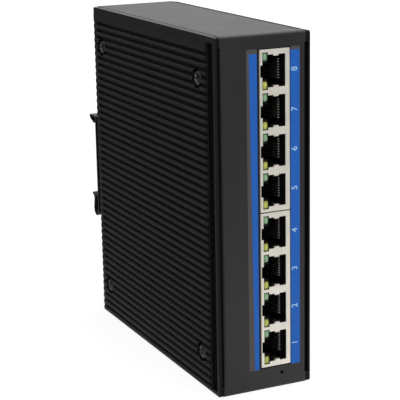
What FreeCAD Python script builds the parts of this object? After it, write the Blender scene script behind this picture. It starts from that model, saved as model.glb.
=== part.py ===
import FreeCAD, Part
import math
import os

# Eight-port industrial ethernet switch for a 35 mm rail.  Millimetres.
# X is the width (ports' contact side at +X), the front faces -Y, the rail clip is at +Y, +Z is up.
# The origin is under the middle of the whole box, clip included, on the surface it stands on.

# ---------------------------------------------------------------- case
CASE_WIDTH = 40.8
CASE_DEPTH = 123.8
CASE_HEIGHT = 142.0
SHEET = 0.8              # folded sheet of the chassis and the rear panel
BEND_RADIUS = 1.0        # outer radius of every fold
CORNER_RELIEF = 4.4      # flanges stop this far from the top and bottom faces
FRONT_FLANGE = 31.0      # how far the front's side flanges run back
REAR_FLANGE = 14.0       # how far the rear panel's side flanges run forward
TOP_LIP = 3.9            # side lips folded down from the top and up from the bottom
PANEL_GAP = 0.1          # play between the rear panel and the top and bottom faces

# ---------------------------------------------------------------- finned side plates
PLATE_THICKNESS = 2.2
PLATE_INSET = 0.2        # the plates stop short of the top and bottom faces
PLATE_CORNER = 1.0       # bevelled corners of the plate's outline
PLATE_EDGE = 0.4         # bevel round the outer rim
LIP_WIDTH = 1.15         # front lip, seen from the front
REBATE_DEPTH = 1.1       # shadow groove beside the front lip
CHANNEL_START = 1.7      # channel between the front lip and the fins
CHANNEL_TOP_GAP = 2.5    # from the channel's end to the top of the case
CHANNEL_CORNER = 0.8
FIN_START = 9.0          # where the fins' crests begin, from the front
FIN_HEIGHT = 1.35
FIN_PITCH = 3.075
FIRST_GROOVE = 2.6       # height of the lowest groove's middle
GROOVE_FLOOR = 0.8
GROOVE_MOUTH = 1.75
NOSE_STEPS = 2           # flat steps in the round of a fin's nose
GROOVE_END = 2.2         # the deep grooves stop this far from the back edge
SCALLOP_DEPTH = 0.3      # the shallow scallops run on through the back edge
TOP_BAND_STEP = 0.2      # the plain top band lies this much below the crests
TOP_BAND = 3.3           # height of that band

# ---------------------------------------------------------------- side screws
SCREW_FRONT = 16.3       # from the front face
SCREW_REAR = 8.3         # from the back face
SCREW_LOW = 14.2
SCREW_HIGH_GAP = 17.4    # from the upper screws to the top of the case
POCKET_DIAMETER = 7.8
SCREW_DIAMETER = 3.0
SCREW_LENGTH = 5.0
HEAD_DIAMETER = 5.6
HEAD_TOP = 4.7           # the pan head narrows to this
HEAD_HEIGHT = 1.3
SHANK_SIDES = 12         # shanks, and the holes that only they pass, have flat sides
HOLE_CLEARANCE = 0.2     # radial, round every screw shank
NUT_WIDTH = 5.5
NUT_HEIGHT = 2.4

# ---------------------------------------------------------------- ganged jacks
# Widths are from the latch side of a module, heights from its middle.
PORT_PITCH = 15.5
MODULE_ENDS = 1.1        # what a module is taller than its ports
MODULE_WIDTH = 13.15
MODULE_DEPTH = 21.0
MODULE_MARGIN = 9.0      # from the modules' contact side to the outside of the case
MODULE_LOW = 9.3         # bottom of the lower module
MODULE_SPACE = 0.45      # between the two modules
MODULE_HEADROOM = 5.0    # least height left over the upper module
MODULE_RECESS = 0.2      # behind the front face
SHIELD = 0.25
WINDOW_GAP = 0.4         # round the modules in the front panel
PLUG_HALF = 5.95         # half the height of a plug cavity
PLUG_LEFT = 3.85         # cavity walls
PLUG_RIGHT = 11.15
CAVITY_DEPTH = 13.5
LATCH_HALF = 3.1
LATCH_LEFT = 1.65
LATCH_TIP_HALF = 2.0
LATCH_TIP_LEFT = 0.75
LAMP_LEFT = 1.45
LAMP_LOW = 3.7
LAMP_MARGIN = 0.6        # from a lamp's pocket to the edge of its port
LAMP_DEPTH = 3.0
LAMP_GAP = 0.05          # round a lamp in its pocket
WINDOW_MARGIN = 0.3      # the shield's window round the plug cavity
FINGER_WIDTH = 2.1       # contact fingers of the shield
FINGER_MIDDLE = 7.3
FINGER_LENGTH = 4.0
FINGER_REACH = 0.6
FINGER_GAP = 0.1         # round a finger in the body's slot
CONTACTS = 8
CONTACT_PITCH = 1.02
CONTACT_WIDTH = 0.4
CONTACT_THICK = 0.3
CONTACT_FRONT = 3.6
CONTACT_FOOT = 1.4
CONTACT_BACK = 12.0
CONTACT_RISE = 3.6

# ---------------------------------------------------------------- port strips and power lamp
FILM = 0.15
STRIP_GAP = 0.45         # between the right strip and the modules
STRIP_MARGIN = 4.3       # from the right strip to the outside of the case
LEFT_STRIP_GAP = 0.6
LEFT_STRIP_WIDTH = 4.55
STRIP_BELOW = 0.5        # how far the strips pass the modules
STRIP_ABOVE = 0.4
POWER_LAMP_ACROSS = 9.15 # from the latch side of the modules
POWER_LAMP_HEIGHT = 6.0
POWER_LAMP_DIAMETER = 1.3
POWER_LAMP_GAP = 0.05    # round the light guide in its hole
POWER_LAMP_SETBACK = 0.1 # of the guide's end behind the front face
POWER_LAMP_ROOM = 0.7    # between the front sheet and the lamp's body
POWER_LAMP_BODY = (3.2, 7.0, 3.0)

# ---------------------------------------------------------------- board and what is on it
BOARD_THICKNESS = 1.6
BOARD_FRONT = 2.5
BOARD_REAR = 119.0
BOARD_GAP = 4.6          # from the board's edges to the bottom and top of the case
BOARD_HOLE_FRONT = 26.5
BOARD_HOLE_REAR = 114.0
BOARD_HOLE_GAP = 29.0    # the posts' distance from the bottom and top of the case
STANDOFF_WIDTH = 5.5
CHIP_SIZE = 20.0
CHIP_HEIGHT = 1.6
CHIP_PLACE = (66.0, 72.0)
SINK_SIZE = 28.0
SINK_HEIGHT = 9.0
SINK_BASE = 2.0
SINK_FINS = 7
SINK_FIN = 1.2
TRANSFORMER_SIZE = (5.7, 13.0, 15.2)
TRANSFORMER_DEPTH = 38.5
INDUCTOR_DIAMETER = 12.5
INDUCTOR_HEIGHT = 8.0
INDUCTOR_PLACE = (103.0, 44.0)
ROUND_SIDES = 16         # round components inside the case have flat sides
CAPACITOR_DIAMETER = 10.0
CAPACITOR_HEIGHT = 13.0
CAPACITOR_PLACES = ((103.0, 60.0), (103.0, 74.0))

# ---------------------------------------------------------------- power terminal header, in the bottom face
HEADER_WAYS = 6
HEADER_PITCH = 5.08
HEADER_WIDTH = 8.6
HEADER_HEIGHT = 14.0
HEADER_WALL = 1.0
HEADER_MIDDLE = 70.0
HEADER_ABOVE_FLOOR = 0.3
HEADER_FLOOR = 2.0
HEADER_GAP = 0.3
PIN = 1.0
PIN_LENGTH = 6.0

# ---------------------------------------------------------------- rail clip
CLIP_SHEET = 0.8
CLIP_WIDTH = 40.2
CLIP_STANDOFF = 2.7      # thickness of the backing plate
CLIP_TOP = 91.9
CLIP_BOTTOM = 44.4
CLIP_REACH = 10.1        # from the back face to the hook's tip
HOOK_HEM = 0.46          # half the step between the hook's two leaves
HEM_BEND = 0.41
HOOK_LEAF_DROP = 2.3
HOOK_LEAF_END = 5.4
HOOK_BEND = 1.3
FOOT_REACH = 8.8
LEG_REACH = 8.0
FLARE_REACH = 10.0
FLARE_TOP = 54.9
FLARE_RISE = 1.5
LEG_STRAIGHT = 1.6
LEG_BEND = 1.0
FLARE_BEND = 0.8
FOOT_STRAIGHT = 0.4      # between the foot's round and the leg
BACKING_WIDTH = 30.0
BACKING_HEIGHT = 34.0
CLIP_SCREW_SPREAD = 20.0
CLIP_SCREW_LENGTH = 6.0
CLIP_HEAD_HEIGHT = 1.2


# ---------------------------------------------------------------- worked out from the above
FRONT = -(CASE_DEPTH + CLIP_REACH - FILM) / 2
BACK = FRONT + CASE_DEPTH
SIDE = CASE_WIDTH / 2
CHASSIS_SIDE = SIDE - PLATE_THICKNESS
FLANGE_INNER = CHASSIS_SIDE - SHEET
FLANGE_LOW = CORNER_RELIEF
FLANGE_HIGH = CASE_HEIGHT - CORNER_RELIEF
MODULE_FRONT = FRONT + MODULE_RECESS
MODULE_RIGHT = SIDE - MODULE_MARGIN
MODULE_LEFT = MODULE_RIGHT - MODULE_WIDTH
LEFT_STRIP = (MODULE_LEFT - LEFT_STRIP_GAP - LEFT_STRIP_WIDTH, MODULE_LEFT - LEFT_STRIP_GAP)
RIGHT_STRIP = (MODULE_RIGHT + STRIP_GAP, SIDE - STRIP_MARGIN)
POWER_LAMP = (MODULE_LEFT + POWER_LAMP_ACROSS, POWER_LAMP_HEIGHT)
TOP_BAND_START = CASE_HEIGHT - TOP_BAND
GROOVES = [FIRST_GROOVE + n * FIN_PITCH
           for n in range(1 + int((TOP_BAND_START - GROOVE_MOUTH - FIRST_GROOVE) / FIN_PITCH))]
BOARD_FACE = MODULE_RIGHT
BOARD_BACK = BOARD_FACE + BOARD_THICKNESS
SCREW_SPOTS = [(y, z) for y in (FRONT + SCREW_FRONT, BACK - SCREW_REAR)
               for z in (SCREW_LOW, CASE_HEIGHT - SCREW_HIGH_GAP)]
BOARD_SPOTS = [(FRONT + d, z) for d in (BOARD_HOLE_FRONT, BOARD_HOLE_REAR)
               for z in (BOARD_HOLE_GAP, CASE_HEIGHT - BOARD_HOLE_GAP)]
PORTS_PER_MODULE = int((CASE_HEIGHT - MODULE_HEADROOM - MODULE_SPACE - MODULE_LOW - 2 * MODULE_ENDS)
                       / 2 / PORT_PITCH)
LAMP_HIGH = PORT_PITCH / 2 - LAMP_MARGIN
MODULE_HEIGHT = PORTS_PER_MODULE * PORT_PITCH + MODULE_ENDS
MODULE_CENTRES = [MODULE_LOW + MODULE_HEIGHT / 2 + n * (MODULE_HEIGHT + MODULE_SPACE) for n in range(2)]
MODULE_TOP = MODULE_CENTRES[1] + MODULE_HEIGHT / 2
PORT_OFFSETS = [(n - (PORTS_PER_MODULE - 1) / 2) * PORT_PITCH for n in range(PORTS_PER_MODULE)]
CLIP_MIDDLE = (CLIP_TOP + CLIP_BOTTOM) / 2
CLIP_SPOTS = [(side * CLIP_SCREW_SPREAD / 2, CLIP_MIDDLE) for side in (-1, 1)]
HOLE_RADIUS = SCREW_DIAMETER / 2 + HOLE_CLEARANCE
CUT = 1.0                # how far a cutter runs past what it cuts
TINY = 1e-6              # two places nearer than this are the same

V = FreeCAD.Vector
X, Y, Z = V(1, 0, 0), V(0, 1, 0), V(0, 0, 1)


def block(x0, x1, y0, y1, z0, z1):
    """A rectangular solid between the given faces."""
    return Part.makeBox(x1 - x0, y1 - y0, z1 - z0, V(x0, y0, z0))


def rod(radius, start, direction, length):
    """A cylinder from a point along a direction."""
    return Part.makeCylinder(radius, length, start, direction)


def edges_where(shape, test):
    """The straight edges whose middle point and direction pass a test."""
    found = []
    for edge in shape.Edges:
        first, last = edge.Vertexes[0].Point, edge.Vertexes[-1].Point
        if test((first + last) / 2, (last - first).normalize()):
            found.append(edge)
    return found


def along(direction, axis):
    """Whether a unit vector lies along an axis."""
    return abs(abs(direction.dot(axis)) - 1) < TINY


def rounded(shape, radius, axis, test):
    """Fillet the edges along one axis whose middle passes a test."""
    return shape.makeFillet(radius, edges_where(shape, lambda p, d: along(d, axis) and test(p)))


def bevelled(shape, width, test):
    """Bevel the edges whose middle and direction pass a test."""
    return shape.makeChamfer(width, edges_where(shape, test))


def rounded_path(points, radii):
    """A wire of straight runs joined by tangent arcs, one radius for each inner point."""
    edges = []
    start = points[0]
    for corner, after, radius in zip(points[1:-1], points[2:], radii):
        back = (start - corner).normalize()
        ahead = (after - corner).normalize()
        half = back.getAngle(ahead) / 2
        reach = radius / math.tan(half)
        middle = (back + ahead).normalize() * (radius / math.sin(half) - radius)
        first, last = corner + back * reach, corner + ahead * reach
        if (first - start).Length > TINY:
            edges.append(Part.LineSegment(start, first).toShape())
        edges.append(Part.Arc(first, corner + middle, last).toShape())
        start = last
    edges.append(Part.LineSegment(start, points[-1]).toShape())
    return Part.Wire(edges)


def prism(points, direction):
    """A straight-sided solid on a closed outline of points."""
    return Part.Face(Part.makePolygon(points + points[:1])).extrude(direction)


def bar(sides, radius, start, axis, length):
    """A regular many-sided bar from a point along an axis; the radius is that of its corners."""
    turns = [2 * math.pi * n / sides for n in range(sides)]
    corners = [V(radius * math.cos(turn), radius * math.sin(turn), 0) for turn in turns]
    return placed(prism(corners, Z * length), start, axis)


def shank(radius, start, axis, length):
    """A screw's shank, or a hole that only a shank passes."""
    return bar(SHANK_SIDES, radius, start, axis, length)


def hexagon(width, start, axis, length):
    """A six-sided post of a width across its flats."""
    return bar(6, width / math.sqrt(3), start, axis, length)


def nut(start, axis):
    """A nut with a plain bore, seated at the start."""
    bore = shank(HOLE_RADIUS, start - axis * CUT, axis, NUT_HEIGHT + 2 * CUT)
    return hexagon(NUT_WIDTH, start, axis, NUT_HEIGHT).cut(bore)


def placed(shape, start, axis):
    """Turn a shape built along +Z to an axis and move it to a point."""
    shape.Placement = FreeCAD.Placement(start, FreeCAD.Rotation(Z, axis)).multiply(shape.Placement)
    return shape


def screw(head_height, length, start, axis):
    """A plain pan-head screw; its shank runs along the axis, the head seats at the start."""
    head = Part.makeCone(HEAD_TOP / 2, HEAD_DIAMETER / 2, head_height, V(0, 0, -head_height), Z)
    return placed(head.fuse(shank(SCREW_DIAMETER / 2, V(), Z, length)), start, axis)


def save(node, shape):
    """Write one node's STEP file."""
    shape.exportStep("parts/" + node + ".step")
    print(node, len(shape.Solids), round(shape.Volume, 1), shape.isValid())


def both_sides(shape):
    """The same shape on the left and, mirrored, on the right."""
    return shape, shape.mirror(V(), X)


# ---------------------------------------------------------------- folded sheets
def folded_wall(face, inward, length):
    """A wall across the case with a flange along each side, folded back by the given length."""
    y0, y1 = sorted((face, face + inward * length))
    outer = block(-CHASSIS_SIDE, CHASSIS_SIDE, y0, y1, FLANGE_LOW, FLANGE_HIGH)
    outer = rounded(outer, BEND_RADIUS, Z, lambda p: abs(p.y - face) < TINY)
    y0, y1 = sorted((face + inward * SHEET, face + inward * (length + CUT)))
    inner = block(-FLANGE_INNER, FLANGE_INNER, y0, y1, FLANGE_LOW - CUT, FLANGE_HIGH + CUT)
    return outer.cut(inner)


def lipped_face(face, inward):
    """The top or bottom face between the corner reliefs, with a short lip along each side."""
    y0, y1 = FRONT + CORNER_RELIEF, BACK - CORNER_RELIEF / 2
    z0, z1 = sorted((face, face + inward * TOP_LIP))
    outer = block(-CHASSIS_SIDE, CHASSIS_SIDE, y0, y1, z0, z1)
    outer = rounded(outer, BEND_RADIUS, Y, lambda p: abs(p.z - face) < TINY)
    z0, z1 = sorted((face + inward * SHEET, face + inward * (TOP_LIP + CUT)))
    inner = block(-FLANGE_INNER, FLANGE_INNER, y0 - CUT, y1 + CUT, z0, z1)
    return outer.cut(inner)


def side_holes(spots):
    """Holes for the side screws, right across the case."""
    return [shank(HOLE_RADIUS, V(-SIDE - CUT, y, z), X, CASE_WIDTH + 2 * CUT) for y, z in spots]


def header_box(gap):
    """The outline of the terminal header, grown by a gap."""
    half = HEADER_WAYS * HEADER_PITCH / 2 + HEADER_WALL
    middle = FRONT + HEADER_MIDDLE
    return (BOARD_FACE - HEADER_WIDTH - gap, BOARD_FACE + gap, middle - half - gap, middle + half + gap)


def front_chassis():
    """Front, top and bottom in one folded sheet, open at the sides and the back."""
    outer = block(-CHASSIS_SIDE, CHASSIS_SIDE, FRONT, BACK, 0, CASE_HEIGHT)
    outer = rounded(outer, BEND_RADIUS, X, lambda p: abs(p.y - FRONT) < TINY)
    inner = block(-CHASSIS_SIDE - CUT, CHASSIS_SIDE + CUT, FRONT + SHEET, BACK + CUT,
                  SHEET, CASE_HEIGHT - SHEET)
    sheet = outer.cut(inner)
    sheet = sheet.cut(block(-SIDE, SIDE, FRONT - CUT, FRONT + SHEET, FLANGE_LOW, FLANGE_HIGH))
    for face, inward in ((0, 1), (CASE_HEIGHT, -1)):
        z0, z1 = sorted((face - inward * CUT, face + inward * SHEET))
        sheet = sheet.cut(block(-SIDE, SIDE, FRONT + CORNER_RELIEF, BACK - CORNER_RELIEF / 2, z0, z1))
        sheet = sheet.fuse(lipped_face(face, inward))
    sheet = sheet.fuse(folded_wall(FRONT, 1, FRONT_FLANGE)).removeSplitter()
    window = block(MODULE_LEFT - WINDOW_GAP, MODULE_RIGHT + WINDOW_GAP, FRONT - CUT, FRONT + 2 * SHEET,
                   MODULE_LOW - WINDOW_GAP, MODULE_TOP + WINDOW_GAP)
    lamp = rod(POWER_LAMP_DIAMETER / 2 + POWER_LAMP_GAP, V(POWER_LAMP[0], FRONT - CUT, POWER_LAMP[1]), Y,
               SHEET + 2 * CUT)
    x0, x1, y0, y1 = header_box(HEADER_GAP)
    mouth = block(x0, x1, y0, y1, -CUT, SHEET + CUT)
    return sheet.cut([window, lamp, mouth] + side_holes(SCREW_SPOTS[:2]))


def rear_panel():
    """The back wall with its side flanges, held by the rear side screws."""
    low, high = SHEET + PANEL_GAP, CASE_HEIGHT - SHEET - PANEL_GAP
    wall = block(-CHASSIS_SIDE, CHASSIS_SIDE, BACK - SHEET, BACK, low, high)
    wall = wall.cut(block(-SIDE, SIDE, BACK - SHEET - CUT, BACK + CUT, FLANGE_LOW, FLANGE_HIGH))
    panel = wall.fuse(folded_wall(BACK, -1, REAR_FLANGE)).removeSplitter()
    holes = [shank(HOLE_RADIUS, V(x, BACK - SHEET - CUT, z), Y, SHEET + 2 * CUT) for x, z in CLIP_SPOTS]
    return panel.cut(holes + side_holes(SCREW_SPOTS[2:]))


# ---------------------------------------------------------------- finned plates
def notch(middle, mouth, floor, depth):
    """Section of a groove in the outer face: drafted walls down to a flat floor."""
    face = -SIDE
    half = [(face - CUT, -mouth / 2), (face, -mouth / 2), (face + depth, -floor / 2)]
    outline = half + [(x, -z) for x, z in reversed(half) if z]
    return [V(x, 0, middle + z) for x, z in outline]


def run_along(section, start, end):
    """Carry a section from one depth to another."""
    solid = prism(section, Y * (end - start))
    solid.translate(Y * start)
    return solid


def channel_cutter(low):
    """The channel between the front lip and the fins; its back wall rounds off the fins' noses."""
    face, floor = -SIDE, -SIDE + FIN_HEIGHT
    start, nose = FRONT + CHANNEL_START, FRONT + FIN_START
    turns = [math.pi / 2 * n / NOSE_STEPS for n in range(NOSE_STEPS + 1)]
    outline = [(face - CUT, start), (floor, start)]
    outline += [(floor - FIN_HEIGHT * math.sin(turn), nose - FIN_HEIGHT * math.cos(turn)) for turn in turns]
    outline += [(face - CUT, nose)]
    cutter = prism([V(x, y, low) for x, y in outline], Z * (CASE_HEIGHT - CHANNEL_TOP_GAP - low))
    return bevelled(cutter, CHANNEL_CORNER, lambda p, d: along(d, X) and abs(p.y - start) < TINY)


def side_plate():
    """The left finned plate, with its lip, channel, grooves, screw pockets and shadow rebate."""
    inner = -CHASSIS_SIDE
    low, high = PLATE_INSET, CASE_HEIGHT - PLATE_INSET
    plate = block(-SIDE, inner, FRONT, BACK, low, high)
    plate = bevelled(plate, PLATE_CORNER, lambda p, d: along(d, X))
    plate = bevelled(plate, PLATE_EDGE, lambda p, d: abs(p.x + SIDE) < TINY)
    turn = BACK - GROOVE_END
    cutters = [channel_cutter(FIRST_GROOVE - GROOVE_MOUTH / 2)]
    for middle in GROOVES:
        groove = notch(middle, GROOVE_MOUTH, GROOVE_FLOOR, FIN_HEIGHT)
        scallop = notch(middle, GROOVE_MOUTH, 0, SCALLOP_DEPTH)
        cutters.append(run_along(groove, FRONT + FIN_START - FIN_HEIGHT - CUT, turn))
        cutters.append(run_along(scallop, turn - CUT, BACK + CUT))
    for y, z in SCREW_SPOTS:
        cutters.append(rod(POCKET_DIAMETER / 2, V(-SIDE - CUT, y, z), X, FIN_HEIGHT + CUT))
    cutters.append(block(-SIDE - CUT, -SIDE + TOP_BAND_STEP, FRONT + FIN_START, BACK + CUT,
                         TOP_BAND_START, CASE_HEIGHT + CUT))
    cutters.append(block(-SIDE + LIP_WIDTH, inner + CUT, FRONT - CUT, FRONT + REBATE_DEPTH,
                         FLANGE_LOW, FLANGE_HIGH))
    return plate.cut(cutters + side_holes(SCREW_SPOTS))


def side_screws():
    """The left plate's four screws and the clinch nuts inside the flanges."""
    seat = -SIDE + FIN_HEIGHT
    screws = [screw(HEAD_HEIGHT, SCREW_LENGTH, V(seat, y, z), X) for y, z in SCREW_SPOTS]
    nuts = [nut(V(-FLANGE_INNER, y, z), X) for y, z in SCREW_SPOTS]
    return Part.makeCompound(screws), Part.makeCompound(nuts)


# ---------------------------------------------------------------- jacks
def port_window(y, length):
    """The shield's opening for one port: plug, two lamps, latch, less the two contact fingers."""
    half, lamp = PLUG_HALF + WINDOW_MARGIN, LAMP_HIGH
    left, right = FINGER_MIDDLE - FINGER_WIDTH / 2, FINGER_MIDDLE + FINGER_WIDTH / 2
    inset = half - FINGER_REACH
    tip = LATCH_TIP_HALF + WINDOW_MARGIN
    upper = [(PLUG_RIGHT + WINDOW_MARGIN / 2, half), (right, half), (right, inset), (left, inset),
             (left, half), (PLUG_LEFT, half), (PLUG_LEFT, lamp), (LAMP_LEFT, lamp), (LAMP_LEFT, tip),
             (LATCH_TIP_LEFT - WINDOW_MARGIN / 2, tip)]
    outline = upper + [(x, -z) for x, z in reversed(upper)]
    return prism([V(x, y, z) for x, z in outline], Y * length)


def finger(side):
    """One contact finger folded into the port from the window's edge."""
    root = PLUG_HALF + WINDOW_MARGIN - FINGER_REACH
    left = FINGER_MIDDLE - FINGER_WIDTH / 2
    outline = [(0, root), (0, root + SHIELD), (FINGER_LENGTH, PLUG_HALF), (FINGER_LENGTH, PLUG_HALF - SHIELD)]
    points = [V(left, MODULE_FRONT + d, side * z) for d, z in outline]
    return prism(points, X * FINGER_WIDTH)


def shield():
    """One module's metal can, open towards the board and below the ports' contacts."""
    half = MODULE_HEIGHT / 2
    can = block(0, MODULE_WIDTH, MODULE_FRONT, MODULE_FRONT + MODULE_DEPTH, -half, half)
    inside = block(SHIELD, MODULE_WIDTH + CUT, MODULE_FRONT + SHIELD,
                   MODULE_FRONT + MODULE_DEPTH - SHIELD, -half + SHIELD, half - SHIELD)
    can = can.cut(inside)
    for offset in PORT_OFFSETS:
        window = port_window(MODULE_FRONT - CUT, SHIELD + 2 * CUT)
        window.translate(V(0, 0, offset))
        can = can.cut(window)
    for offset in PORT_OFFSETS:
        for side in (-1, 1):
            tongue = finger(side)
            tongue.translate(V(0, 0, offset))
            can = can.fuse(tongue)
    return can.removeSplitter()


def insulator():
    """One module's black body with its plug cavities, latch slots and lamp pockets."""
    half = MODULE_HEIGHT / 2 - SHIELD
    front = MODULE_FRONT + SHIELD
    body = block(SHIELD, MODULE_WIDTH, front, MODULE_FRONT + MODULE_DEPTH - SHIELD, -half, half)
    cutters = []
    for offset in PORT_OFFSETS:
        for x0, x1, tall, deep in ((PLUG_LEFT, PLUG_RIGHT, PLUG_HALF, CAVITY_DEPTH),
                                   (LATCH_LEFT, PLUG_LEFT, LATCH_HALF, CAVITY_DEPTH),
                                   (LATCH_TIP_LEFT, LATCH_LEFT, LATCH_TIP_HALF, CAVITY_DEPTH)):
            cutters.append(block(x0, x1, front - CUT, front + deep, offset - tall, offset + tall))
        for side in (-1, 1):
            z0, z1 = sorted((offset + side * LAMP_LOW, offset + side * LAMP_HIGH))
            cutters.append(block(LAMP_LEFT, PLUG_LEFT, front - CUT, front + LAMP_DEPTH, z0, z1))
            z0, z1 = sorted((offset + side * (PLUG_HALF - FINGER_REACH),
                             offset + side * (PLUG_HALF + SHIELD)))
            wide = FINGER_WIDTH / 2 + FINGER_GAP
            cutters.append(block(FINGER_MIDDLE - wide, FINGER_MIDDLE + wide, front - CUT,
                                 front + FINGER_LENGTH, z0, z1))
    return body.cut(cutters)


def lamps(side):
    """The indicator windows of one colour, filling their pockets nearly flush with the shield."""
    front = MODULE_FRONT + SHIELD / 2
    pieces = []
    for offset in PORT_OFFSETS:
        z0, z1 = sorted((offset + side * (LAMP_LOW + LAMP_GAP), offset + side * (LAMP_HIGH - LAMP_GAP)))
        pieces.append(block(LAMP_LEFT + LAMP_GAP, PLUG_LEFT - LAMP_GAP, front,
                            MODULE_FRONT + SHIELD + LAMP_DEPTH, z0, z1))
    return pieces


def contacts():
    """One module's spring contacts, slanting from the cavity's right wall towards the plug."""
    foot = MODULE_FRONT + SHIELD + CONTACT_FRONT
    heel = foot + CONTACT_FOOT
    back = MODULE_FRONT + SHIELD + CONTACT_BACK
    tip = PLUG_RIGHT - CONTACT_RISE
    outline = [(PLUG_RIGHT, foot), (PLUG_RIGHT, heel), (tip, back), (tip - CONTACT_THICK, back)]
    pieces = []
    for offset in PORT_OFFSETS:
        for n in range(CONTACTS):
            z = offset + (n - (CONTACTS - 1) / 2) * CONTACT_PITCH - CONTACT_WIDTH / 2
            pieces.append(prism([V(x, y, z) for x, y in outline], Z * CONTACT_WIDTH))
    return pieces


def at_modules(make):
    """The same piece or pieces in the lower and the upper module."""
    result = []
    for centre in MODULE_CENTRES:
        made = make()
        made = made if isinstance(made, list) else [made]
        for piece in made:
            piece.translate(V(MODULE_LEFT, 0, centre))
        result.append(made)
    return result


# ---------------------------------------------------------------- front trim
def strip(sides):
    """A film strip glued to the front beside the ports."""
    return block(sides[0], sides[1], FRONT - FILM, FRONT, MODULE_LOW - STRIP_BELOW, MODULE_TOP + STRIP_ABOVE)


def power_lamp():
    """The power indicator: a light guide in the pin hole on a body behind the panel."""
    x, z = POWER_LAMP
    wide, deep, tall = POWER_LAMP_BODY
    start = FRONT + SHEET + POWER_LAMP_ROOM
    end = FRONT + POWER_LAMP_SETBACK
    guide = bar(ROUND_SIDES, POWER_LAMP_DIAMETER / 2, V(x, end, z), Y, start - end)
    body = block(x - wide / 2, BOARD_FACE, start, start + deep, z - tall / 2, z + tall / 2)
    return guide.fuse(body)


# ---------------------------------------------------------------- board
def main_board():
    """The printed board."""
    return block(BOARD_FACE, BOARD_BACK, FRONT + BOARD_FRONT, FRONT + BOARD_REAR, BOARD_GAP,
                 CASE_HEIGHT - BOARD_GAP)


def standoffs():
    """The posts that hold the board off the right-hand flanges."""
    length = FLANGE_INNER - BOARD_BACK
    return [hexagon(STANDOFF_WIDTH, V(BOARD_BACK, y, z), X, length) for y, z in BOARD_SPOTS]


def switch_chip():
    """The square switch chip on the board."""
    y, z = FRONT + CHIP_PLACE[0], CHIP_PLACE[1]
    half = CHIP_SIZE / 2
    return block(BOARD_FACE - CHIP_HEIGHT, BOARD_FACE, y - half, y + half, z - half, z + half)


def heat_sink():
    """A small finned sink on the chip."""
    y, z = FRONT + CHIP_PLACE[0], CHIP_PLACE[1]
    half = SINK_SIZE / 2
    seat = BOARD_FACE - CHIP_HEIGHT
    sink = block(seat - SINK_HEIGHT, seat, y - half, y + half, z - half, z + half)
    step = (SINK_SIZE - SINK_FIN) / (SINK_FINS - 1)
    gaps = []
    for n in range(SINK_FINS - 1):
        start = y - half + n * step + SINK_FIN
        gaps.append(block(seat - SINK_HEIGHT - CUT, seat - SINK_BASE, start, start + step - SINK_FIN,
                          z - half - CUT, z + half + CUT))
    return sink.cut(gaps)


def transformers():
    """One network transformer behind each pair of ports."""
    wide, deep, tall = TRANSFORMER_SIZE
    y = FRONT + TRANSFORMER_DEPTH
    pieces = []
    for centre in MODULE_CENTRES:
        for side in (-1, 1):
            z = centre + side * PORT_PITCH
            pieces.append(block(BOARD_FACE - wide, BOARD_FACE, y - deep / 2, y + deep / 2,
                                z - tall / 2, z + tall / 2))
    return Part.makeCompound(pieces)


def round_part(diameter, height, place):
    """A round component standing on the board."""
    return bar(ROUND_SIDES, diameter / 2, V(BOARD_FACE - height, FRONT + place[0], place[1]), X, height)


# ---------------------------------------------------------------- terminal header
def terminal_header():
    """The header's shroud, open downwards for a screw-terminal plug."""
    x0, x1, y0, y1 = header_box(0)
    low, high = HEADER_ABOVE_FLOOR, HEADER_ABOVE_FLOOR + HEADER_HEIGHT
    shroud = block(x0, x1, y0, y1, low, high)
    hollow = block(x0 + HEADER_WALL, x1 - HEADER_WALL, y0 + HEADER_WALL, y1 - HEADER_WALL,
                   low - CUT, high - HEADER_FLOOR)
    return shroud.cut(hollow)


def header_pins():
    """One square pin for each way, standing in the header's floor."""
    x0, x1, y0, y1 = header_box(0)
    x = (x0 + x1) / 2
    top = HEADER_ABOVE_FLOOR + HEADER_HEIGHT - HEADER_FLOOR
    pins = []
    for n in range(HEADER_WAYS):
        y = (y0 + y1) / 2 + (n - (HEADER_WAYS - 1) / 2) * HEADER_PITCH
        pins.append(block(x - PIN / 2, x + PIN / 2, y - PIN / 2, y + PIN / 2, top - PIN_LENGTH, top))
    return Part.makeCompound(pins)


# ---------------------------------------------------------------- rail clip
def rail_clip():
    """One spring sheet: hemmed hook leaf, top flange, plate, round spring foot, leg and flare."""
    half = CLIP_SHEET / 2
    plate = BACK + CLIP_STANDOFF + half
    top, bottom = CLIP_TOP - half, CLIP_BOTTOM + half
    tip = BACK + CLIP_REACH - half
    foot = BACK + FOOT_REACH - half
    leg = BACK + LEG_REACH - half
    flare = BACK + FLARE_REACH - half
    loop = (foot - plate) / 2
    hem = top - 2 * HOOK_HEM
    points = [V(0, BACK + HOOK_LEAF_END, hem - HOOK_LEAF_DROP + half), V(0, tip, hem), V(0, tip, top),
              V(0, plate, top), V(0, plate, bottom), V(0, foot, bottom),
              V(0, foot, bottom + loop + FOOT_STRAIGHT), V(0, leg, FLARE_TOP - FLARE_RISE - LEG_STRAIGHT),
              V(0, leg, FLARE_TOP - FLARE_RISE - half), V(0, flare, FLARE_TOP - half)]
    radii = [HEM_BEND, HEM_BEND, HOOK_BEND, loop, loop, LEG_BEND, LEG_BEND, FLARE_BEND]
    path = rounded_path(points, radii)
    section = path.makeOffset2D(half, 0, False, False)
    sheet = Part.Face(section).extrude(X * CLIP_WIDTH)
    sheet.translate(V(-CLIP_WIDTH / 2, 0, 0))
    holes = [shank(HOLE_RADIUS, V(x, plate - half - CUT, z), Y, CLIP_SHEET + 2 * CUT) for x, z in CLIP_SPOTS]
    return sheet.cut(holes)


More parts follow.
